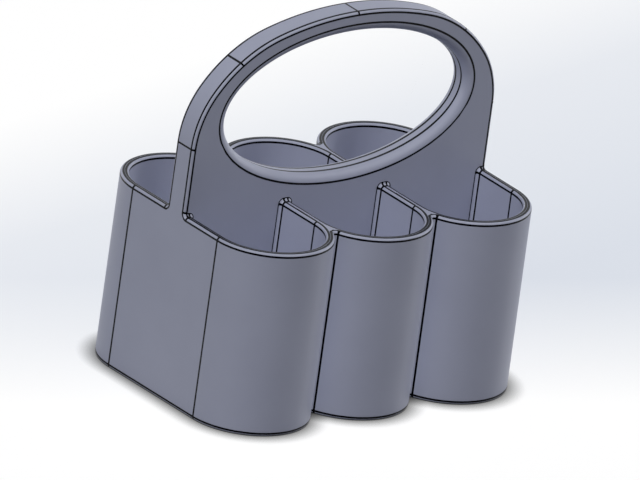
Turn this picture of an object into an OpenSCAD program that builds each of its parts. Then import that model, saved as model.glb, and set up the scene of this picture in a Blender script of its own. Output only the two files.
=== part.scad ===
// Six pack carrier: two rows of three round-ended cells on either side of an arched
// centre panel with an oval hand hole. Millimetres, X along the handle, Y across the two
// rows, Z up. The origin is on the ground, under the middle of the carrier.

/* [Cells] */
// Distance between the middles of neighbouring cells in a row
cell_pitch = 76.8; // [66:0.1:90]
// Thickness of the outer walls
wall = 5.7; // [5:0.1:9]
// Thickness of the dividers between the cells
divider = 6.6; // [5:0.1:9]
// Distance from the middle plane to the centre of each round cell end
cell_centre_y = 43.8; // [36:0.1:60]
// Height of the rim above the ground
wall_height = 122.2; // [90:0.1:135]
// Thickness of the cell floors
floor_thickness = 6.5; // [4:0.1:12]

/* [Rounded edges] */
// Radius along both edges of the rim
rim_round = 2; // [1:0.1:2.4]
// Radius along the outer edge of the base
base_round = 2; // [1:0.1:3]
// Radius of the hollow corners where a wall meets the centre panel
corner_round = 2.2; // [1:0.1:4]
// Radius of the hollow groove where two lobes of the outer wall meet
valley_round = 1.92; // [1:0.01:4]

/* [Centre panel] */
// Thickness of the panel
panel_thickness = 17.5; // [14:0.1:24]
// Radius along the edges of the arch
arch_round = 2; // [1:0.1:4]
// Height of the top of the handle above the ground
handle_top = 243.4; // [225:0.1:270]
// Radius of the long curve across the top of the arch
top_radius = 210; // [180:1:260]
// Radius of the curve that turns the arch down into its sides
shoulder_radius = 60; // [40:1:75]

/* [Hand hole] */
// Flat of the panel left beside each end of the hand hole
hole_side_margin = 18.5; // [12:0.5:30]
// Flat of the panel left above the middle of the hand hole
hole_top_margin = 8.3; // [6:0.1:20]
// Flat of the panel left between the hand hole and the height of the rim
hole_bottom_margin = 7.5; // [4:0.1:25]
// Radius that rounds both edges of the hand hole
hole_round = 6; // [2:0.1:6.8]

/* [Hidden] */
$fn = 96;
// Cuts run past the faces they cut by this much
overrun = 1;
// Straight pieces that follow the oval all the way round, and those in each rounded edge
oval_steps = 96;
edge_steps = 6;
full_turn = 360;
right_angle = 90;

inner_radius = cell_pitch / 2 - divider / 2;
outer_radius = inner_radius + wall;
half_length = cell_pitch + outer_radius;
panel_half = panel_thickness / 2;
divider_length = cell_centre_y - panel_half;

// The arch is five arcs that run smoothly into each other: top, two blends, two shoulders.
// Each hands over where its radius leans sideways by this share of its length.
top_lean_share = 0.28;
shoulder_lean_share = 0.8;
top_heading = [top_lean_share, sqrt(1 - pow(top_lean_share, 2))];
shoulder_heading = [shoulder_lean_share, sqrt(1 - pow(shoulder_lean_share, 2))];
blend_radius = (half_length - top_radius * top_lean_share - shoulder_radius * (1 - shoulder_lean_share))
    / (shoulder_lean_share - top_lean_share);
top_centre = [0, handle_top - top_radius];
blend_centre = top_centre + (top_radius - blend_radius) * top_heading;
shoulder_centre = blend_centre + (blend_radius - shoulder_radius) * shoulder_heading;
arch_foot = shoulder_centre[1];
// Corners of the pieces that the arch is put together from: low ones inside the panel, and
// far ones outside the arch, on the lines where one arc hands over to the next
arch_low = arch_foot - overrun;
top_low = [(arch_low - top_centre[1]) * top_heading[0] / top_heading[1], arch_low];
top_far = top_centre + 2 * top_radius * top_heading;
shoulder_far = blend_centre + 2 * blend_radius * shoulder_heading;
shoulder_side = shoulder_centre + [2 * shoulder_radius, 0];
// The rounded upright edges of the panel start where the rim's own rounding starts
sides_bottom = wall_height - rim_round;

// The oval of the hand hole, measured where its rounded edge meets the flat of the panel
hole_top = handle_top - hole_top_margin;
hole_bottom = wall_height + hole_bottom_margin;
hole_centre_z = (hole_top + hole_bottom) / 2;
hole_half_height = (hole_top - hole_bottom) / 2;
hole_half_length = half_length - hole_side_margin;

// Centre of the groove between two lobes, as far from both of them as its radius asks
groove_y = cell_centre_y + sqrt(pow(outer_radius + valley_round, 2) - pow(cell_pitch / 2, 2));

body_colour = "#8083A0";

// Upright section of a wall: rounded rim on both sides, rounded base edge outside
module outer_wall_section() {
    square([wall - base_round, wall_height - rim_round]);
    translate([0, base_round])
        square([wall, wall_height - rim_round - base_round]);
    translate([rim_round, base_round])
        square([wall - 2 * rim_round, wall_height - base_round]);
    translate([rim_round, wall_height - rim_round])
        circle(rim_round);
    translate([wall - rim_round, wall_height - rim_round])
        circle(rim_round);
    translate([wall - base_round, base_round])
        circle(base_round);
}

// Upright section of a divider, centred, from the floor to the rim
module divider_section() {
    translate([-divider / 2, floor_thickness])
        square([divider, wall_height - rim_round - floor_thickness]);
    translate([-divider / 2 + rim_round, floor_thickness])
        square([divider - 2 * rim_round, wall_height - floor_thickness]);
    for (side = [-1, 1])
        translate([side * (divider / 2 - rim_round), wall_height - rim_round])
            circle(rim_round);
}

// Half section of the space that a hollow corner leaves free: it opens out over the rim
module free_space_section(radius, low) {
    translate([0, low])
        square([radius, wall_height + overrun - low]);
    difference() {
        translate([0, wall_height - rim_round])
            square([radius + rim_round, rim_round + overrun]);
        translate([radius + rim_round, wall_height - rim_round])
            circle(rim_round);
    }
}

// Hollow upright corner between a wall face at x = 0, facing +X, and the panel's rear face
module panel_corner() {
    difference() {
        translate([-rim_round, panel_half, floor_thickness])
            cube([rim_round + corner_round, corner_round, wall_height - floor_thickness]);
        translate([corner_round, panel_half + corner_round, 0])
            rotate_extrude()
                free_space_section(corner_round, 0);
    }
}

// Web between two lobes, from the line through their centres to the groove outside:
// a three-cornered block, cut by both cells and by the groove
module valley_web(x) {
    difference() {
        linear_extrude(wall_height)
            polygon([[x - cell_pitch / 2, cell_centre_y], [x + cell_pitch / 2, cell_centre_y], [x, groove_y]]);
        for (side = [-1, 1])
            translate([x + side * cell_pitch / 2, cell_centre_y, 0])
                rotate_extrude()
                    free_space_section(inner_radius, -overrun);
        translate([x, groove_y, 0])
            rotate_extrude() {
                free_space_section(valley_round, -overrun);
                difference() {
                    translate([0, -overrun])
                        square([valley_round + base_round, base_round + overrun]);
                    translate([valley_round + base_round, base_round])
                        circle(base_round);
                }
            }
    }
}

// Round lobe of the outer wall about one cell, cut where the webs or the straight ends begin
module wall_lobe(column) {
    x = column * cell_pitch;
    left = column > -1 ? [x - cell_pitch / 2, groove_y] : [x - cell_pitch, cell_centre_y];
    right = column < 1 ? [x + cell_pitch / 2, groove_y] : [x + cell_pitch, cell_centre_y];
    beyond = [0, cell_pitch];
    intersection() {
        translate([x, cell_centre_y, 0])
            rotate_extrude()
                translate([inner_radius, 0])
                    outer_wall_section();
        translate([0, 0, -overrun])
            linear_extrude(wall_height + 2 * overrun)
                polygon([[x, cell_centre_y], right, right + beyond, left + beyond, left]);
    }
}

// Outer wall of the rear row: three round lobes, the webs between them, two straight ends
module rear_outer_wall() {
    for (column = [-1:1])
        wall_lobe(column);
    for (side = [-1, 1]) {
        valley_web(side * cell_pitch / 2);
        mirror([side < 0 ? 1 : 0, 0, 0]) {
            translate([half_length - wall, cell_centre_y, 0])
                rotate([right_angle, 0, 0])
                    linear_extrude(divider_length)
                        outer_wall_section();
            translate([half_length - wall, 0, 0])
                mirror([1, 0, 0])
                    panel_corner();
        }
    }
}

// Divider of the rear row at the given x, from the panel to the round ends of the cells
module rear_divider(x) {
    translate([x, 0, 0]) {
        translate([0, cell_centre_y, 0])
            rotate([right_angle, 0, 0])
                linear_extrude(divider_length)
                    divider_section();
        for (side = [0, 1])
            mirror([side, 0, 0])
                translate([divider / 2, 0, 0])
                    panel_corner();
    }
}

// Floor of the rear row: one plate, flush inside the outer wall, under the dividers
module rear_row_floor() {
    linear_extrude(floor_thickness) {
        translate([-half_length + wall, panel_half])
            square([2 * (half_length - wall), divider_length]);
        for (column = [-1:1])
            translate([column * cell_pitch, cell_centre_y])
                intersection() {
                    circle(inner_radius);
                    translate([-inner_radius, 0])
                        square([2 * inner_radius, inner_radius]);
                }
    }
}

// Part of the arch under one arc: a disc with rounded edges, cut to an outline in front view
module arch_part(centre, radius, outline) {
    intersection() {
        translate([centre[0], 0, centre[1]])
            rotate([right_angle, 0, 0])
                rotate_extrude() {
                    translate([0, -panel_half])
                        square([radius - arch_round, panel_thickness]);
                    translate([0, -panel_half + arch_round])
                        square([radius, panel_thickness - 2 * arch_round]);
                    for (side = [-1, 1])
                        translate([radius - arch_round, side * (panel_half - arch_round)])
                            circle(arch_round);
                }
        translate([0, panel_half + overrun, 0])
            rotate([right_angle, 0, 0])
                linear_extrude(panel_thickness + 2 * overrun)
                    polygon(outline);
    }
}

// Plan of the panel between the rim and the foot of the arch, its corners rounded
module panel_plan() {
    square([2 * half_length, panel_thickness - 2 * arch_round], center = true);
    square([2 * (half_length - arch_round), panel_thickness], center = true);
    for (x_side = [-1, 1], y_side = [-1, 1])
        translate([x_side * (half_length - arch_round), y_side * (panel_half - arch_round)])
            circle(arch_round);
}

// Front view of the panel below the rim, its two lower corners rounded like the base
module panel_foot() {
    translate([-half_length, base_round])
        square([2 * half_length, sides_bottom - base_round]);
    translate([-half_length + base_round, 0])
        square([2 * (half_length - base_round), sides_bottom]);
    for (side = [-1, 1])
        translate([side * (half_length - base_round), base_round])
            circle(base_round);
}

// Ends of the rim's outer rounding, run on into the panel's corners to meet its own edges
module rim_ends() {
    for (x_side = [-1, 1], y_side = [0, 1])
        mirror([0, y_side, 0])
            translate([x_side * (half_length - rim_round), panel_half, sides_bottom])
                rotate([right_angle, 0, 0])
                    cylinder(r = rim_round, h = arch_round);
}

// Points of the hand hole's oval, drawn inwards by an amount square to the oval itself
function oval_point(angle, inset) =
    let (across = [hole_half_length * cos(angle), hole_half_height * sin(angle)],
         square_to = [cos(angle) / hole_half_length, sin(angle) / hole_half_height])
    across - inset * square_to / norm(square_to);

// Centre panel: foot between the two rows of cells, sides, and the arch above the hole
module centre_panel() {
    color(body_colour)
        difference() {
            union() {
                translate([0, panel_half, 0])
                    rotate([right_angle, 0, 0])
                        linear_extrude(panel_thickness)
                            panel_foot();
                translate([0, 0, base_round])
                    linear_extrude(arch_foot - base_round)
                        panel_plan();
                arch_part(top_centre, top_radius, [[-top_low[0], arch_low], top_low, top_far, [-top_far[0], top_far[1]]]);
                for (side = [0, 1])
                    mirror([side, 0, 0]) {
                        arch_part(blend_centre, blend_radius,
                            [top_low, [shoulder_centre[0], arch_low], shoulder_centre, shoulder_far, top_far]);
                        arch_part(shoulder_centre, shoulder_radius, [shoulder_centre, shoulder_side, shoulder_far]);
                    }
                rim_ends();
            }
            translate([0, panel_half + overrun, hole_centre_z])
                rotate([right_angle, 0, 0])
                    linear_extrude(panel_thickness + 2 * overrun)
                        polygon([for (step = [0:oval_steps - 1]) oval_point(step * full_turn / oval_steps, 0)]);
        }
}

// Rounded border of the hand hole: its section is swept all the way round the oval
module hand_hole_rim() {
    quarter = [for (step = [0:edge_steps]) step * right_angle / edge_steps];
    section = concat(
        [for (turn = quarter) [hole_round * sin(turn), -panel_half + hole_round * (1 - cos(turn))]],
        [for (turn = quarter) [hole_round * cos(turn), panel_half - hole_round * (1 - sin(turn))]]
    );
    count = len(section);
    points = [
        for (step = [0:oval_steps - 1], place = section)
            let (across = oval_point(step * full_turn / oval_steps, place[0]))
            [across[0], place[1], hole_centre_z + across[1]]
    ];
    faces = [
        for (step = [0:oval_steps - 1], edge = [0:count - 1])
            let (here = step * count, next = (step + 1) % oval_steps * count, after = (edge + 1) % count)
            each [
                [here + edge, next + edge, next + after],
                [here + edge, next + after, here + after],
            ]
    ];
    color(body_colour)
        polyhedron(points, faces);
}

module rear_wall() { color(body_colour) rear_outer_wall(); }
module front_wall() { color(body_colour) mirror([0, 1, 0]) rear_outer_wall(); }
module rear_left_divider() { color(body_colour) rear_divider(-cell_pitch / 2); }
module rear_right_divider() { color(body_colour) rear_divider(cell_pitch / 2); }
module front_left_divider() { color(body_colour) mirror([0, 1, 0]) rear_divider(-cell_pitch / 2); }
module front_right_divider() { color(body_colour) mirror([0, 1, 0]) rear_divider(cell_pitch / 2); }
module rear_floor() { color(body_colour) rear_row_floor(); }
module front_floor() { color(body_colour) mirror([0, 1, 0]) rear_row_floor(); }

centre_panel();
hand_hole_rim();
front_wall();
rear_wall();
front_left_divider();
front_right_divider();
rear_left_divider();
rear_right_divider();
front_floor();
rear_floor();
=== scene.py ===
import math

import bmesh
import bpy
import numpy as np
from mathutils import Matrix, Vector


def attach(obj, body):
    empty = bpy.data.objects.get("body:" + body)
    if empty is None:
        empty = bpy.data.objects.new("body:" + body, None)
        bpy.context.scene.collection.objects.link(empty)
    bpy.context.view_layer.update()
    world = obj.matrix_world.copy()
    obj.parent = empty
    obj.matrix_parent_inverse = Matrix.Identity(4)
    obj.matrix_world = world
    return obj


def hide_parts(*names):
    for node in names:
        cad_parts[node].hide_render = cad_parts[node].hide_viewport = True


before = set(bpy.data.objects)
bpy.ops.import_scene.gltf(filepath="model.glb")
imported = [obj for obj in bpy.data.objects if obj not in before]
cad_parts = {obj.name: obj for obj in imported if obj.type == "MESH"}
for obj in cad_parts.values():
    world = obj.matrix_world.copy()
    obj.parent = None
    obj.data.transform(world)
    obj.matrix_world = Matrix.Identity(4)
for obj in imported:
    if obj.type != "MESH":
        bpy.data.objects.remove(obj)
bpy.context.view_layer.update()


# Viewpoint. The picture is drawn with parallel lines kept parallel, from the left front and a little
# above, and it leans over by a few degrees. Its middle lies a little right of and above the origin.
view_azimuth, view_elevation, view_lean = (math.radians(angle) for angle in (-39.812, 21.617, 7.916))
picture_width, pixels_per_metre = 640, 1616
middle_across, middle_up = 0.01180, 0.07996
view_distance, nearest_seen, farthest_seen = 1.5, 0.05, 20
towards_viewer = Vector((
    math.sin(view_azimuth) * math.cos(view_elevation),
    -math.cos(view_azimuth) * math.cos(view_elevation),
    math.sin(view_elevation),
))
level_right = Vector((math.cos(view_azimuth), math.sin(view_azimuth), 0))
level_up = towards_viewer.cross(level_right)
picture_right = math.cos(view_lean) * level_right + math.sin(view_lean) * level_up
picture_up = math.cos(view_lean) * level_up - math.sin(view_lean) * level_right
camera_data = bpy.data.cameras.new("viewpoint")
camera_data.type = "ORTHO"
camera_data.ortho_scale = picture_width / pixels_per_metre
camera_data.clip_start, camera_data.clip_end = nearest_seen, farthest_seen
camera = bpy.data.objects.new("viewpoint", camera_data)
camera.matrix_world = Matrix.Translation(
    middle_across * picture_right + middle_up * picture_up + view_distance * towards_viewer
) @ Matrix((picture_right, picture_up, towards_viewer)).transposed().to_4x4()
bpy.context.scene.collection.objects.link(camera)
bpy.context.scene.camera = camera
bpy.context.scene.view_settings.view_transform = "Standard"


# Studio lamps. One wide soft lamp overhead casts the shadow. Weaker ones around it fill in without a shadow
# of their own, as big pale cards round a small set do: tops are lightest, faces to the front darkest.
def add_lamp(name, towards_lamp, strength, spread, casts_shadow=False):
    """A soft lamp far away in the direction towards_lamp, with the spread of its light in degrees."""
    lamp_data = bpy.data.lights.new(name, "SUN")
    lamp_data.energy = strength
    lamp_data.angle = math.radians(spread)
    lamp_data.use_shadow = casts_shadow
    lamp = bpy.data.objects.new(name, lamp_data)
    lamp.matrix_world = Vector(towards_lamp).to_track_quat("Z", "Y").to_matrix().to_4x4()
    bpy.context.scene.collection.objects.link(lamp)


add_lamp("lamp_overhead", (0, 0, 1), 0.14, 80, casts_shadow=True)
add_lamp("card_above_front", (0, -0.52, 1), 1.2, 60)
add_lamp("card_left", (-1, -0.12, 0.45), 1.42, 50)
add_lamp("card_right", (1, -0.1, 0.1), 0.95, 40)
add_lamp("card_above_right", (0.6, -0.3, 0.75), 0.3, 20)
add_lamp("card_behind", (0, 1, 0.15), 0.45, 60)


# Room. Its walls give the object a weak even light; what looks past the floor sees pale blue paper.
wall_light, wall_paper = 0.035, 1.0


def linear(hex_colour):
    """Linear red, green, blue and alpha of a colour as the screen shows it. The sRGB curve is undone in
    each channel: a straight foot up to 0.04045, and the power 2.4 above it."""
    shown = np.array([int(hex_colour[at:at + 2], 16) / 255 for at in (1, 3, 5)])
    undone = np.where(shown <= 0.04045, shown / 12.92, ((shown + 0.055) / 1.055) ** 2.4)
    return (*undone.tolist(), 1.0)


def add_node(tree, kind, sockets=None, **settings):
    """One shader node. Settings are its own choices; sockets are its inputs, each a plain value or the
    output that feeds it."""
    made = tree.nodes.new(kind)
    for name, value in settings.items():
        setattr(made, name, value)
    for name, value in (sockets or {}).items():
        if isinstance(value, bpy.types.NodeSocket):
            tree.links.new(value, made.inputs[name])
        else:
            made.inputs[name].default_value = value
    return made


def seen_directly(tree):
    """1 for rays from the viewer and for what gloss and glass show, 0 for rays that carry light."""
    path = add_node(tree, "ShaderNodeLightPath").outputs
    gloss = add_node(tree, "ShaderNodeMath", {0: path["Is Camera Ray"], 1: path["Is Glossy Ray"]},
                     operation="MAXIMUM")
    return add_node(tree, "ShaderNodeMath", {0: gloss.outputs[0], 1: path["Is Transmission Ray"]},
                    operation="MAXIMUM").outputs[0]


room = bpy.data.worlds.new("room")
bpy.context.scene.world = room
room.use_nodes = True
room_tree = room.node_tree
room_tree.nodes.clear()
room_light = add_node(room_tree, "ShaderNodeBackground",
                      {"Color": linear("#FFFFFF"), "Strength": wall_light})
room_paper = add_node(room_tree, "ShaderNodeBackground",
                      {"Color": linear("#F4F6FA"), "Strength": wall_paper})
room_mix = add_node(room_tree, "ShaderNodeMixShader",
                    {0: seen_directly(room_tree), 1: room_light.outputs[0], 2: room_paper.outputs[0]})
add_node(room_tree, "ShaderNodeOutputWorld", {"Surface": room_mix.outputs[0]})


# Floor. A wide sheet of matt paper, white where the carrier stands, with a pale blue band behind it whose
# sides fade along straight slopes, from start to full, the far one with a knee. Close to the carrier's
# foot a painted contact shadow darkens the paper's colour; the paper is part lit by the lamps, part glowing
# by itself.
floor_reach = 6.0
near_slope, near_start, near_full = (0.1279, 0.3685, 0), -0.0206, 0.0567
far_slope, far_start, far_full = (-0.1181, 0.5530, 0), 0.0155, 0.2105
knee_place, knee_strength = 0.603, 0.68
painted_shadow_reach, painted_shadow_power = 0.013, 1.9
glow_share, glow_strength = 0.65, 1.15
floor_mesh = bpy.data.meshes.new("floor")
floor_mesh.from_pydata(
    [(x, y, 0) for x, y in ((-floor_reach, -floor_reach), (floor_reach, -floor_reach),
                            (floor_reach, floor_reach), (-floor_reach, floor_reach))],
    [], [(0, 1, 2, 3)])
floor = bpy.data.objects.new("floor", floor_mesh)
bpy.context.scene.collection.objects.link(floor)
paper = bpy.data.materials.new("matt_backdrop_paper")
paper.use_nodes = True
paper_tree = paper.node_tree
paper_tree.nodes.clear()
paper_place = add_node(paper_tree, "ShaderNodeTexCoord").outputs["Object"]
near_edge = add_node(paper_tree, "ShaderNodeVectorMath", {0: paper_place, 1: near_slope},
                     operation="DOT_PRODUCT")
far_edge = add_node(paper_tree, "ShaderNodeVectorMath", {0: paper_place, 1: far_slope},
                    operation="DOT_PRODUCT")
band_in = add_node(paper_tree, "ShaderNodeMapRange",
                   {"Value": near_edge.outputs["Value"], "From Min": near_start, "From Max": near_full})
band_across = add_node(paper_tree, "ShaderNodeMapRange",
                       {"Value": far_edge.outputs["Value"], "From Min": far_start, "From Max": far_full})
band_out = add_node(paper_tree, "ShaderNodeValToRGB", {0: band_across.outputs[0]})
band_out.color_ramp.elements[0].color = (1, 1, 1, 1)
band_out.color_ramp.elements.new(knee_place).color = (knee_strength, knee_strength, knee_strength, 1)
band_out.color_ramp.elements[-1].color = (0, 0, 0, 1)
band = add_node(paper_tree, "ShaderNodeMath", {0: band_in.outputs[0], 1: band_out.outputs[0]},
                operation="MULTIPLY")
paper_tint = add_node(paper_tree, "ShaderNodeMix",
                      {0: band.outputs[0], 6: linear("#FEFEFE"), 7: linear("#DADFE8")}, data_type="RGBA")
# Painted contact shadow: the paper's colour is made darker within a few millimetres of the carrier's foot.
painted_contact_shadow = add_node(paper_tree, "ShaderNodeAmbientOcclusion", {"Distance": painted_shadow_reach}, samples=16)
painted_shadow_factor = add_node(paper_tree, "ShaderNodeMath", {0: painted_contact_shadow.outputs["AO"], 1: painted_shadow_power},
                         operation="POWER")
paper_with_painted_shadow = add_node(paper_tree, "ShaderNodeVectorMath",
                       {0: paper_tint.outputs[2], "Scale": painted_shadow_factor.outputs[0]}, operation="SCALE")
paper_lit = add_node(paper_tree, "ShaderNodeBsdfDiffuse", {"Color": paper_with_painted_shadow.outputs[0]})
paper_glow = add_node(paper_tree, "ShaderNodeEmission",
                      {"Color": paper_with_painted_shadow.outputs[0], "Strength": glow_strength})
paper_seen = add_node(paper_tree, "ShaderNodeMixShader",
                      {0: glow_share, 1: paper_lit.outputs[0], 2: paper_glow.outputs[0]})
paper_bounce = add_node(paper_tree, "ShaderNodeBsdfDiffuse", {"Color": linear("#4A4A4E")})
paper_mix = add_node(paper_tree, "ShaderNodeMixShader",
                     {0: seen_directly(paper_tree), 1: paper_bounce.outputs[0], 2: paper_seen.outputs[0]})
add_node(paper_tree, "ShaderNodeOutputMaterial", {"Surface": paper_mix.outputs[0]})
floor_mesh.materials.append(paper)


# Floors of the cells. Two plates, one under each row, moulded in polypropylene that is coloured bluish
# grey right through, like all the rest. The tool is finely spark-eroded, which leaves the skin satin.
def moulded_plastic(name):
    """Satin polypropylene: a faint cloudiness of the pigment, the fine grain of the tool, and the narrow
    dark lines that the tool's inserts leave. A line starts where the piece's own tool_line attribute passes
    line_start, and is full at line_fade above it. Level surfaces are seen at a slant, so their line_start
    is lower: the line on them is wider, and looks as wide as the others."""
    cloud_width, grain_width = 1 / 22, 1 / 1400  # 45 mm, and 0.7 mm: coarser than real, so that it shows
    upright_start, level_start, line_fade = 0.18, 0.03, 0.1
    material = bpy.data.materials.new(name)
    material.use_nodes = True
    tree = material.node_tree
    tree.nodes.clear()
    place = add_node(tree, "ShaderNodeTexCoord").outputs["Object"]
    cloud = add_node(tree, "ShaderNodeTexNoise",
                     {"Vector": place, "Scale": 1 / cloud_width, "Detail": 3.0, "Roughness": 0.5})
    grain = add_node(tree, "ShaderNodeTexNoise",
                     {"Vector": place, "Scale": 1 / grain_width, "Detail": 2.0, "Roughness": 0.6})
    tint = add_node(tree, "ShaderNodeValToRGB", {0: cloud.outputs["Fac"]})
    tint.color_ramp.elements[0].position, tint.color_ramp.elements[1].position = 0.3, 0.7
    tint.color_ramp.elements[0].color = linear("#979BAF")
    tint.color_ramp.elements[1].color = linear("#9CA0B4")
    line = add_node(tree, "ShaderNodeAttribute", attribute_name="tool_line")
    facing = add_node(tree, "ShaderNodeSeparateXYZ",
                      {0: add_node(tree, "ShaderNodeTexCoord").outputs["Normal"]})
    line_start = add_node(tree, "ShaderNodeMapRange",
                          {"Value": facing.outputs["Z"], "From Min": 0.55, "From Max": 0.95,
                           "To Min": upright_start, "To Max": level_start})
    line_full = add_node(tree, "ShaderNodeMath", {0: line_start.outputs[0], 1: line_fade}, operation="ADD")
    shade = add_node(tree, "ShaderNodeMapRange",
                     {"Value": line.outputs["Fac"], "From Min": line_start.outputs[0],
                      "From Max": line_full.outputs[0]})
    gloss = add_node(tree, "ShaderNodeMapRange", {"Value": shade.outputs[0], "To Min": 1.0, "To Max": 0.0})
    lined = add_node(tree, "ShaderNodeMix", {0: shade.outputs[0], 6: tint.outputs[0], 7: linear("#010103")},
                     data_type="RGBA")
    satin = add_node(tree, "ShaderNodeMapRange",
                     {"Value": grain.outputs["Fac"], "From Min": 0.3, "From Max": 0.7,
                      "To Min": 0.4, "To Max": 0.5})
    bump = add_node(tree, "ShaderNodeBump",
                    {"Height": grain.outputs["Fac"], "Strength": 0.15, "Distance": 0.00004})
    skin = add_node(tree, "ShaderNodeBsdfPrincipled",
                    {"Base Color": lined.outputs[2], "Roughness": satin.outputs[0], "IOR": 1.49,
                     "Specular Tint": gloss.outputs[0], "Normal": bump.outputs[0]})
    add_node(tree, "ShaderNodeOutputMaterial", {"Surface": skin.outputs[0]})
    return material


plastic = moulded_plastic("satin_polypropylene")
for node_name in ("front_floor", "rear_floor"):
    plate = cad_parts[node_name]
    plate.data.materials.clear()
    plate.data.materials.append(plastic)


# Outer walls. One wall goes round the three cells of a row and ends flush with the panel. Its round lobes
# meet in narrow hollow grooves, rim and foot are rounded, and where the rim meets the panel a small hollow
# corner climbs over it and turns the rim's rounding up into the panel's. Sizes are in millimetres.
cell_pitch, wall, divider, row_centre, rim_height, floor_thickness = 76.8, 5.7, 6.6, 43.8, 122.2, 6.5
edge_round, corner_round, groove_round, panel_half = 2.0, 2.2, 1.92, 8.75
cell_radius = cell_pitch / 2 - divider / 2
lobe_radius = cell_radius + wall
corner_y, corner_z = panel_half + corner_round, rim_height + corner_round
line_reach, upright_reach = 0.84, 1.0  # a line's strength falls to 0 this far off; two fit on the rim's flat
arc_points, lobe_points, end_points, middle_points, flat_rows = 9, 34, 48, 7, 3
quarter = np.linspace(0, np.pi / 2, arc_points)
round_out, round_up = edge_round * (1 - np.cos(quarter)), edge_round * np.sin(quarter)


def run(start, end, reach, between):
    """Places from start to end: both ends, one inside each end at the given reach, and as many as between
    says spread evenly from one of those to the other."""
    step = math.copysign(reach, end - start)
    return np.concatenate([[start], np.linspace(start + step, end - step, between + 2), [end]])


def near(along, *lines, reach=line_reach):
    """Strength of a tool line at distances along a surface: 1 on a line, falling evenly to 0 at its reach."""
    away = np.min([np.abs(along - line) for line in lines], axis=0)
    return np.clip(1 - away / reach, 0, 1)


def level(points, height):
    """Points of a plan, lifted to a height, or each to its own."""
    return np.concatenate([points, np.broadcast_to(height, len(points))[:, None]], axis=1)


def straight_side(edge_x):
    """Plan of one half of a cell from the panel's hollow corner to its round end: out is the distance
    outside the cell's face, at x = radius + out. Its edge is at edge_x, on the outer rim's rounding, or
    midway between two cells."""
    y = run(corner_y, row_centre, upright_reach, 2)
    return {"at": lambda out: np.stack([np.full(y.shape, cell_radius + out), y], axis=1),
            "edge": np.stack([np.full(y.shape, edge_x), y], axis=1),
            "edge_line": np.full(y.shape, 1.0 if edge_x > cell_pitch / 2 else 0.0),
            "upright_line": near(y, corner_y, row_centre, reach=upright_reach),
            "top_line": near(y, corner_y, reach=upright_reach)}


groove_depth = math.sqrt((lobe_radius + groove_round) ** 2 - (cell_pitch / 2) ** 2)
groove_angle = math.atan2(groove_depth, cell_pitch / 2)
groove_turn = np.linspace(1.5 * np.pi, np.pi + groove_angle, arc_points)
groove_way = np.stack([np.cos(groove_turn), np.sin(groove_turn)], axis=1)
groove_centre = np.array([cell_pitch / 2, row_centre + groove_depth])
lobe_turn = run(groove_angle, np.pi / 2, upright_reach / lobe_radius, lobe_points)
lobe_way = np.stack([np.cos(lobe_turn), np.sin(lobe_turn)], axis=1)
end_turn = run(0, np.pi / 2, upright_reach / lobe_radius, end_points)
end_way = np.stack([np.cos(end_turn), np.sin(end_turn)], axis=1)


def round_side(shared):
    """Plan of one half of a cell's round end: radius cell_radius + out about the cell's centre. Its edge
    is the outer rim's rounding, at lobe_radius - edge_round. If the side is shared with another cell the
    edge is the plane midway between them, then the groove's own rounding, then the lobe's."""
    middle_of_cell = np.array([0, row_centre])
    edge, edge_line = (lobe_radius - edge_round) * end_way, np.ones(len(end_way))
    if shared:
        middle_y = run(0, groove_depth - groove_round - edge_round, line_reach, middle_points)
        middle = np.stack([np.full(middle_y.shape, cell_pitch / 2), middle_y], axis=1)[:-1]
        groove = groove_centre - middle_of_cell + (groove_round + edge_round) * groove_way[:-1]
        edge = np.concatenate([middle, groove, (lobe_radius - edge_round) * lobe_way])
        edge_line = np.concatenate([np.zeros(len(middle)), np.ones(len(edge) - len(middle))])
    way = edge / np.linalg.norm(edge, axis=1)[:, None]
    return {"at": lambda out: (cell_radius + out) * way + middle_of_cell, "edge": edge + middle_of_cell,
            "edge_line": edge_line,
            "upright_line": near(np.arctan2(way[:, 1], way[:, 0]) * lobe_radius, 0, reach=upright_reach),
            "top_line": np.zeros(len(edge))}


far_off = 99  # farther than any line reaches
inner_out = np.concatenate([[0, 0], round_out, [edge_round + line_reach]])
inner_line = near(np.concatenate([[-far_off, -line_reach], edge_round * quarter, [far_off]]),
                  0, edge_round * np.pi / 2)


def inner_heights(foot):
    """Heights of the rows of a cell's face that inner_out places: its foot, its face and the rim's edge."""
    return np.concatenate([[foot, rim_height - edge_round - line_reach], rim_height - edge_round + round_up,
                           [rim_height]])


def inner_face(plan, foot):
    """Face of a cell: up from its foot, over the rounded edge of the rim, and across the rim's flat. The
    plan's upright lines end on the rounded edge, and its edge line is on the last row."""
    back = plan["at"](edge_round) - plan["edge"]
    back = plan["edge"] + line_reach * back / np.linalg.norm(back, axis=1)[:, None]
    points = np.stack([level(plan["at"](out), up) for out, up in zip(inner_out, inner_heights(foot))]
                      + [level(back, rim_height), level(plan["edge"], rim_height)])
    line = np.concatenate([np.maximum(inner_line[:arc_points + 2, None], plan["upright_line"]),
                           np.broadcast_to(plan["top_line"], (flat_rows, len(back)))])
    line[-1] = np.maximum(plan["edge_line"], plan["top_line"])
    return points, line


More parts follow.
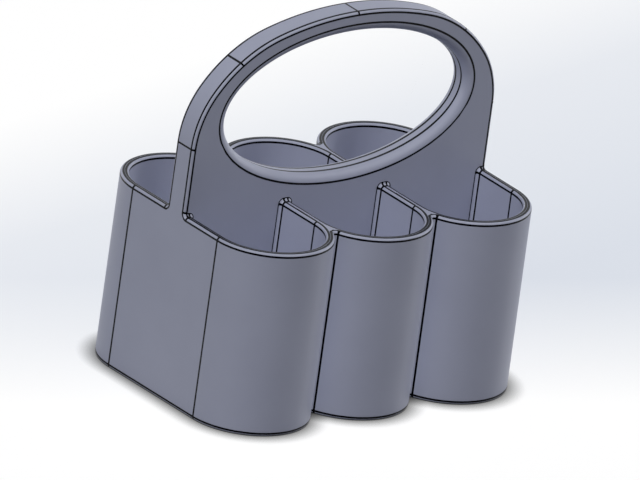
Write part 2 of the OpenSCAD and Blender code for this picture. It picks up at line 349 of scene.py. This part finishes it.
def hollow_corner(edge_x, foot):
    """Hollow corner that joins a wall to the panel. The wall's own outline, up its face, over the rim's
    edge and along the flat, is its path; square to it stands a quarter circle of corner_round, from the
    wall's face to the panel's: corner_round (1 - cos a) out from the wall, corner_round (1 - sin a) from
    the panel."""
    out = np.concatenate([inner_out, [edge_x - cell_radius - line_reach, edge_x - cell_radius]])
    height = np.concatenate([inner_heights(foot), [rim_height, rim_height]])
    lean = np.concatenate([[0, 0], quarter, np.full(flat_rows, np.pi / 2)])[:, None]
    away = corner_round * (1 - np.cos(quarter))
    points = np.stack([cell_radius + out[:, None] - np.cos(lean) * away,
                       np.broadcast_to(corner_y - corner_round * np.sin(quarter), (len(out), len(quarter))),
                       height[:, None] + np.sin(lean) * away], axis=2)
    row_line = np.concatenate([inner_line, [0, 1 if edge_x > cell_pitch / 2 else 0]])
    return points, np.maximum(row_line[:, None], near(corner_round * quarter, 0, corner_round * np.pi / 2))


def rounded_turn(first, last):
    """Turn of the outer rounding from the rim up into the panel's upright edge: a quarter circle of
    edge_round carried round the middle of the hollow corner. The angle a across it gives the distance
    corner_round + edge_round (1 - sin a) from that middle; first and last give the angles round it."""
    distance = corner_round + edge_round * (1 - np.sin(quarter))
    meets = np.arccos(corner_round / distance)
    around = np.array([np.linspace(first(angle), last(angle), arc_points) for angle in meets])
    points = np.stack([np.broadcast_to(lobe_radius - round_out[:, None], around.shape),
                       corner_y - distance[:, None] * np.cos(around),
                       corner_z - distance[:, None] * np.sin(around)], axis=2)
    ends = near(np.minimum(around, np.pi / 2 - around) * distance[:, None], 0)
    return points, np.maximum(near(edge_round * quarter, 0, edge_round * np.pi / 2)[:, None], ends)


outer_inset = np.concatenate([edge_round - round_up, [0, 0], round_out])
outer_height = np.concatenate([round_out, [edge_round + line_reach, rim_height - edge_round - line_reach],
                               rim_height - edge_round + round_up])
foot_line = near(edge_round * (np.pi / 2 - quarter), 0)
outer_line = np.concatenate([foot_line, [0, 0], near(edge_round * quarter, 0, edge_round * np.pi / 2)])


def outer_face(path, outwards, path_line):
    """Outer face of a wall along a path in plan: the rounded foot, the face, and the rim's rounding."""
    face = np.stack([level(path - inset * outwards, height)
                     for inset, height in zip(outer_inset, outer_height)])
    return face, np.maximum(outer_line[:, None], path_line)


def flat(points):
    """A patch of plain surface without tool lines."""
    return points, np.zeros(points.shape[:2])


def placed(patches, column, side, row):
    """Patches of one half cell, put at its column, to the right or left (side), in the rear or front row."""
    return [(points * (side, row, 1) + (column * cell_pitch, 0, 0), line) for points, line in patches]


def moulding(name, patches, caps, replaced):
    """One shell of the moulding. Every patch is a grid of points with its tool lines; caps are flat faces
    that close the shell where it meets its neighbours. Points about a micrometre apart become one, and the
    strongest line at a point holds. Edges that turn by more than crease, in degrees, stay sharp."""
    coincide, merge_metres, crease = 0.00137, 1e-6, 35
    points = np.concatenate([grid.reshape(-1, 3) for grid, _ in patches] + [cap for cap, _ in caps])
    line = np.concatenate([strength.ravel() for _, strength in patches]
                          + [np.zeros(len(cap)) for cap, _ in caps])
    same = np.unique(np.round(points / coincide).astype(np.int64), axis=0, return_inverse=True)[1].ravel()
    strongest = np.zeros(same.max() + 1)
    np.maximum.at(strongest, same, line)
    faces, start = [], 0
    for grid, _ in patches:
        rows, columns = grid.shape[:2]
        first = start + np.arange(rows - 1)[:, None] * columns + np.arange(columns - 1)
        corners = np.stack([first, first + 1, first + columns + 1, first + columns], axis=2)
        faces += corners.reshape(-1, 4).tolist()
        start += rows * columns
    for cap, _ in caps:
        faces.append(list(range(start, start + len(cap))))
        start += len(cap)
    mesh = bpy.data.meshes.new(name)
    mesh.from_pydata((points / 1000).tolist(), [], faces)
    tool_line = mesh.attributes.new("tool_line", "FLOAT", "POINT")
    tool_line.data.foreach_set("value", strongest[same].astype(np.float32))
    shell = bmesh.new()
    shell.from_mesh(mesh)
    bmesh.ops.remove_doubles(shell, verts=shell.verts, dist=merge_metres)
    bmesh.ops.recalc_face_normals(shell, faces=shell.faces)
    shell.to_mesh(mesh)
    shell.free()
    mesh.polygons.foreach_set("use_smooth", np.ones(len(mesh.polygons), bool))
    mesh.set_sharp_from_angle(angle=math.radians(crease))
    mesh.materials.append(plastic)
    piece = bpy.data.objects.new(name, mesh)
    bpy.context.scene.collection.objects.link(piece)
    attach(piece, "root")
    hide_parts(replaced)


end_side = straight_side(lobe_radius - edge_round)
end_round, shared_side = round_side(False), round_side(True)
end_inner, end_corner = inner_face(end_side, 0), hollow_corner(lobe_radius - edge_round, 0)
end_rounding = rounded_turn(lambda meets: meets, lambda meets: np.pi / 2)
end_y = end_side["edge"][:, 1]
end_straight = outer_face(np.stack([np.full(end_y.shape, lobe_radius), end_y], axis=1),
                          np.array([1.0, 0.0]), near(end_y, row_centre, reach=upright_reach))
corner_top = end_rounding[0][0]
end_beside = (np.stack([level(np.stack([corner_top[:, 0] - inset, corner_top[:, 1]], axis=1), height)
                        for inset, height in zip(outer_inset[:arc_points + 1], outer_height)]
                       + [corner_top - (0, 0, line_reach), corner_top]),
              np.broadcast_to(np.concatenate([foot_line, [0, 0, 1]])[:, None], (arc_points + 3, arc_points)))
end_lobe = outer_face(lobe_radius * end_way + (0, row_centre), end_way,
                      near(end_turn * lobe_radius, 0, reach=upright_reach))
end_half = [end_inner, end_corner, end_rounding, end_straight, end_beside,
            flat(np.stack([level(end_side["at"](0), 0), level(end_side["edge"], 0)])),
            inner_face(end_round, 0), end_lobe,
            flat(np.stack([level(end_round["at"](0), 0), level(end_round["edge"], 0)]))]
end_caps = [np.concatenate([end_corner[0][:, -1], end_rounding[0][::-1, 0][1:], end_beside[0][::-1, 0][1:]]),
            np.concatenate([end_corner[0][0], end_beside[0][0]])]
shared_inner = inner_face(shared_side, 0)
shared_half = [shared_inner,
               outer_face(groove_centre + groove_round * groove_way, -groove_way,
                          near((groove_turn - groove_turn[-1]) * groove_round, 0)),
               outer_face(lobe_radius * lobe_way + (0, row_centre), lobe_way,
                          near((lobe_turn - groove_angle) * lobe_radius, 0, reach=upright_reach)),
               flat(np.stack([level(shared_side["at"](0), 0), level(shared_side["edge"], 0)]))]
shared_caps = [np.concatenate([shared_inner[0][:, 0], [[cell_pitch / 2, row_centre, 0]]])]
for wall_name, row in (("front_wall", -1), ("rear_wall", 1)):
    wall_patches, wall_caps = [], []
    for column in (-1, 0, 1):
        for side in (-1, 1):
            half, caps = (end_half, end_caps) if column == side else (shared_half, shared_caps)
            wall_patches += placed(half, column, side, row)
            wall_caps += placed([(cap, 0) for cap in caps], column, side, row)
    moulding(wall_name + "_shell", wall_patches, wall_caps, wall_name)


# Dividers. Four upright webs between neighbouring cells, a little thicker than the outer wall and as high;
# each grows out of the panel with the same hollow corner, and runs into the valley between two lobes.
web_side = straight_side(cell_pitch / 2)
web_inner = inner_face(web_side, floor_thickness)
web_corner = hollow_corner(cell_pitch / 2, floor_thickness)
web_middle = np.stack([np.full(arc_points, cell_pitch / 2), web_corner[0][0, :, 1]], axis=1)
web_half = [web_inner, web_corner,
            flat(np.stack([level(web_side["at"](0), floor_thickness),
                           level(web_side["edge"], floor_thickness)])),
            flat(np.stack([web_corner[0][0], level(web_middle, floor_thickness)]))]
web_caps = [np.concatenate([web_inner[0][:, -1], [[cell_pitch / 2, row_centre, floor_thickness]]]),
            np.concatenate([web_corner[0][:, -1], [[cell_pitch / 2, panel_half, floor_thickness]]])]
for web_name, column, row in (("front_left_divider", -1, -1), ("front_right_divider", 0, -1),
                              ("rear_left_divider", -1, 1), ("rear_right_divider", 0, 1)):
    web_patches = placed(web_half, column, 1, row) + placed(web_half, column + 1, -1, row)
    caps = [(cap, 0) for cap in web_caps]
    caps = placed(caps, column, 1, row) + placed(caps, column + 1, -1, row)
    moulding(web_name + "_shell", web_patches, caps, web_name)


# Centre panel. One thick plate between the two rows, moulded with them. It ends flush with the outer
# walls, and above the rim its edge is an arch of five arcs that run smoothly into each other.
half_length = cell_pitch + lobe_radius
arcs = (((0.0, 33.4), 210.0, 0.28), ((33.6, 148.6), 90.0, 0.8), ((57.6, 166.6), 60.0, 1.0))
arc_counts, side_count, foot_count, underside_points = (24, 12, 20), 3, 8, 40
tick_lean = 0.6
hole_length, hole_height, hole_middle = 99.1, 52.7, 182.4


def arch_outline():
    """Right half of the panel's outline in front view, from the top of the arch down to the hollow corner:
    the arcs one after another, each up to where its radius leans sideways by its given share, and then the
    straight side. Returns points, outward directions, and the strength of the lines across the edge: at
    the top, where the radius leans by tick_lean, and at both ends of the straight side."""
    points, ways, lines, start = [], [], [], math.pi / 2
    for (centre, radius, lean), count in zip(arcs, arc_counts):
        end = math.acos(lean)
        tick = math.acos(tick_lean)
        stops = [start, tick, end] if end < tick < start else [start, end]
        turns = np.concatenate([run(first, last, line_reach / radius, count)[:-1]
                                for first, last in zip(stops, stops[1:])])
        way = np.stack([np.cos(turns), np.sin(turns)], axis=1)
        points.append(np.array(centre) + radius * way)
        ways.append(way)
        lines.append(near(radius * turns, radius * math.pi / 2, radius * tick, 0))
        start = end
    side = run(arcs[-1][0][1], corner_z, line_reach, side_count)
    points.append(np.stack([np.full(side.shape, half_length), side], axis=1))
    ways.append(np.broadcast_to((1.0, 0.0), (len(side), 2)))
    lines.append(near(side, side[0], side[-1]))
    return np.concatenate(points), np.concatenate(ways), np.concatenate(lines)


def standing(points, y):
    """Points of the front view, at the depth y, or each at its own."""
    return np.stack([points[:, 0], np.broadcast_to(y, len(points)), points[:, 1]], axis=1)


def oval(angle, inset):
    """Points of the hand hole's oval, drawn inwards by the inset, square to the oval itself: the point is
    (length cos a, height sin a) and the way square to it is (cos a / length, sin a / height)."""
    square_to = np.stack([np.cos(angle) / hole_length, np.sin(angle) / hole_height], axis=1)
    square_to /= np.linalg.norm(square_to, axis=1)[:, None]
    points = np.stack([hole_length * np.cos(angle), hole_middle + hole_height * np.sin(angle)], axis=1)
    return points - inset * square_to


arch, arch_way, arch_line = arch_outline()
inner_arch = arch - edge_round * arch_way
arch_rounding = (np.stack([standing(arch - out * arch_way, panel_half - edge_round + up)
                           for out, up in zip(round_out, round_up)]),
                 np.maximum(near(edge_round * quarter, 0, edge_round * np.pi / 2)[:, None], arch_line))
panel_turn = rounded_turn(lambda meets: 0, lambda meets: meets)
panel_turn = (panel_turn[0] + (cell_pitch, 0, 0), panel_turn[1])
# The foot goes down the side, round the lower corner and along the underside. It starts after the turn's
# last point, and its rounding has the same lines as the walls' feet.
foot_side = run(panel_turn[0][0, -1, 2], edge_round, line_reach, foot_count)
foot_under = np.linspace(half_length - edge_round, 0, underside_points)
foot = np.concatenate([
    np.stack([np.full(foot_side.shape, half_length), foot_side], axis=1),
    np.stack([half_length - round_out, edge_round - round_up], axis=1)[1:],
    np.stack([foot_under, np.zeros(foot_under.shape)], axis=1)[1:]])[1:]
edge = np.concatenate([arch, panel_turn[0][0, 1:, ::2], foot])
edge_half = np.concatenate([np.full(len(arch), panel_half - edge_round), panel_turn[0][0, 1:, 1],
                            np.full(len(foot), panel_half)])
below_arch, turn_rest = side_count + 3, arc_points - 1
across_line = np.concatenate([arch_line[:-below_arch], near(arch[-below_arch:, 1], arcs[-1][0][1]),
                              np.zeros(turn_rest + len(foot))])
across_line[-len(foot) + len(foot_side) - 2:][:arc_points] = foot_line[::-1]
border_line = np.concatenate([np.ones(len(arch) + turn_rest), across_line[-len(foot):]])
edge_strip = (np.stack([standing(edge, y) for y in (-edge_half, line_reach - edge_half, 0,
                                                    edge_half - line_reach, edge_half)]),
              np.stack([border_line, across_line, across_line, across_line, border_line]))
# The flat face runs from the outline, past where its line ends, straight to the oval of the hand hole.
face_edge = np.concatenate([inner_arch, panel_turn[0][::-1, -1, ::2][1:], foot])
held = face_edge - line_reach * np.concatenate(
    [arch_way, np.broadcast_to((1.0, 0.0), (turn_rest + len(foot), 2))])
held[-1] = (0, line_reach)
around = np.minimum.accumulate(
    np.arctan2((held[:, 1] - hole_middle) / hole_height, held[:, 0] / hole_length))
face_line = np.concatenate([np.ones(len(arch)), np.zeros(turn_rest + len(foot))])
no_line = np.zeros(len(face_line))
panel_face = (np.stack([standing(points, panel_half)
                        for points in (face_edge, held, oval(around, -line_reach), oval(around, 0))]),
              np.stack([face_line, no_line, no_line, np.ones(len(face_line))]))
hole_wall = flat(np.stack([standing(oval(around, 0), -panel_half), standing(oval(around, 0), panel_half)]))
panel_patches = []
for side in (-1, 1):
    panel_patches += placed([edge_strip, hole_wall], 0, side, 1)
    for row in (-1, 1):
        panel_patches += placed([arch_rounding, panel_turn, panel_face], 0, side, row)
moulding("centre_panel_shell", panel_patches, [], "centre_panel")


# Border of the hand hole. One thick rounded lip all the way round the oval, moulded with the panel, so
# that its edge doesn't cut into the fingers.
lip_round, lip_points, oval_points = 6.0, 17, 385
lip_turn = np.linspace(0, np.pi / 2, lip_points)
lip_inset = np.concatenate([lip_round * np.sin(lip_turn), [lip_round, lip_round],
                            lip_round * np.cos(lip_turn), [0]])
lip_y = np.concatenate([lip_round * (1 - np.cos(lip_turn)) - panel_half,
                        [lip_round - panel_half + line_reach, panel_half - lip_round - line_reach],
                        panel_half - lip_round * (1 - np.sin(lip_turn)), [-panel_half]])
lip_half_line = near(lip_round * lip_turn, 0, lip_round * np.pi / 2)
lip_line = np.concatenate([lip_half_line, [0, 0], lip_half_line, [1]])
lip_angle = np.linspace(0, 2 * np.pi, oval_points)
moulding("hand_hole_lip",
         [(np.stack([standing(oval(lip_angle, inset), y) for inset, y in zip(lip_inset, lip_y)]),
           np.broadcast_to(lip_line[:, None], (len(lip_line), len(lip_angle))))],
         [], "hand_hole_rim")
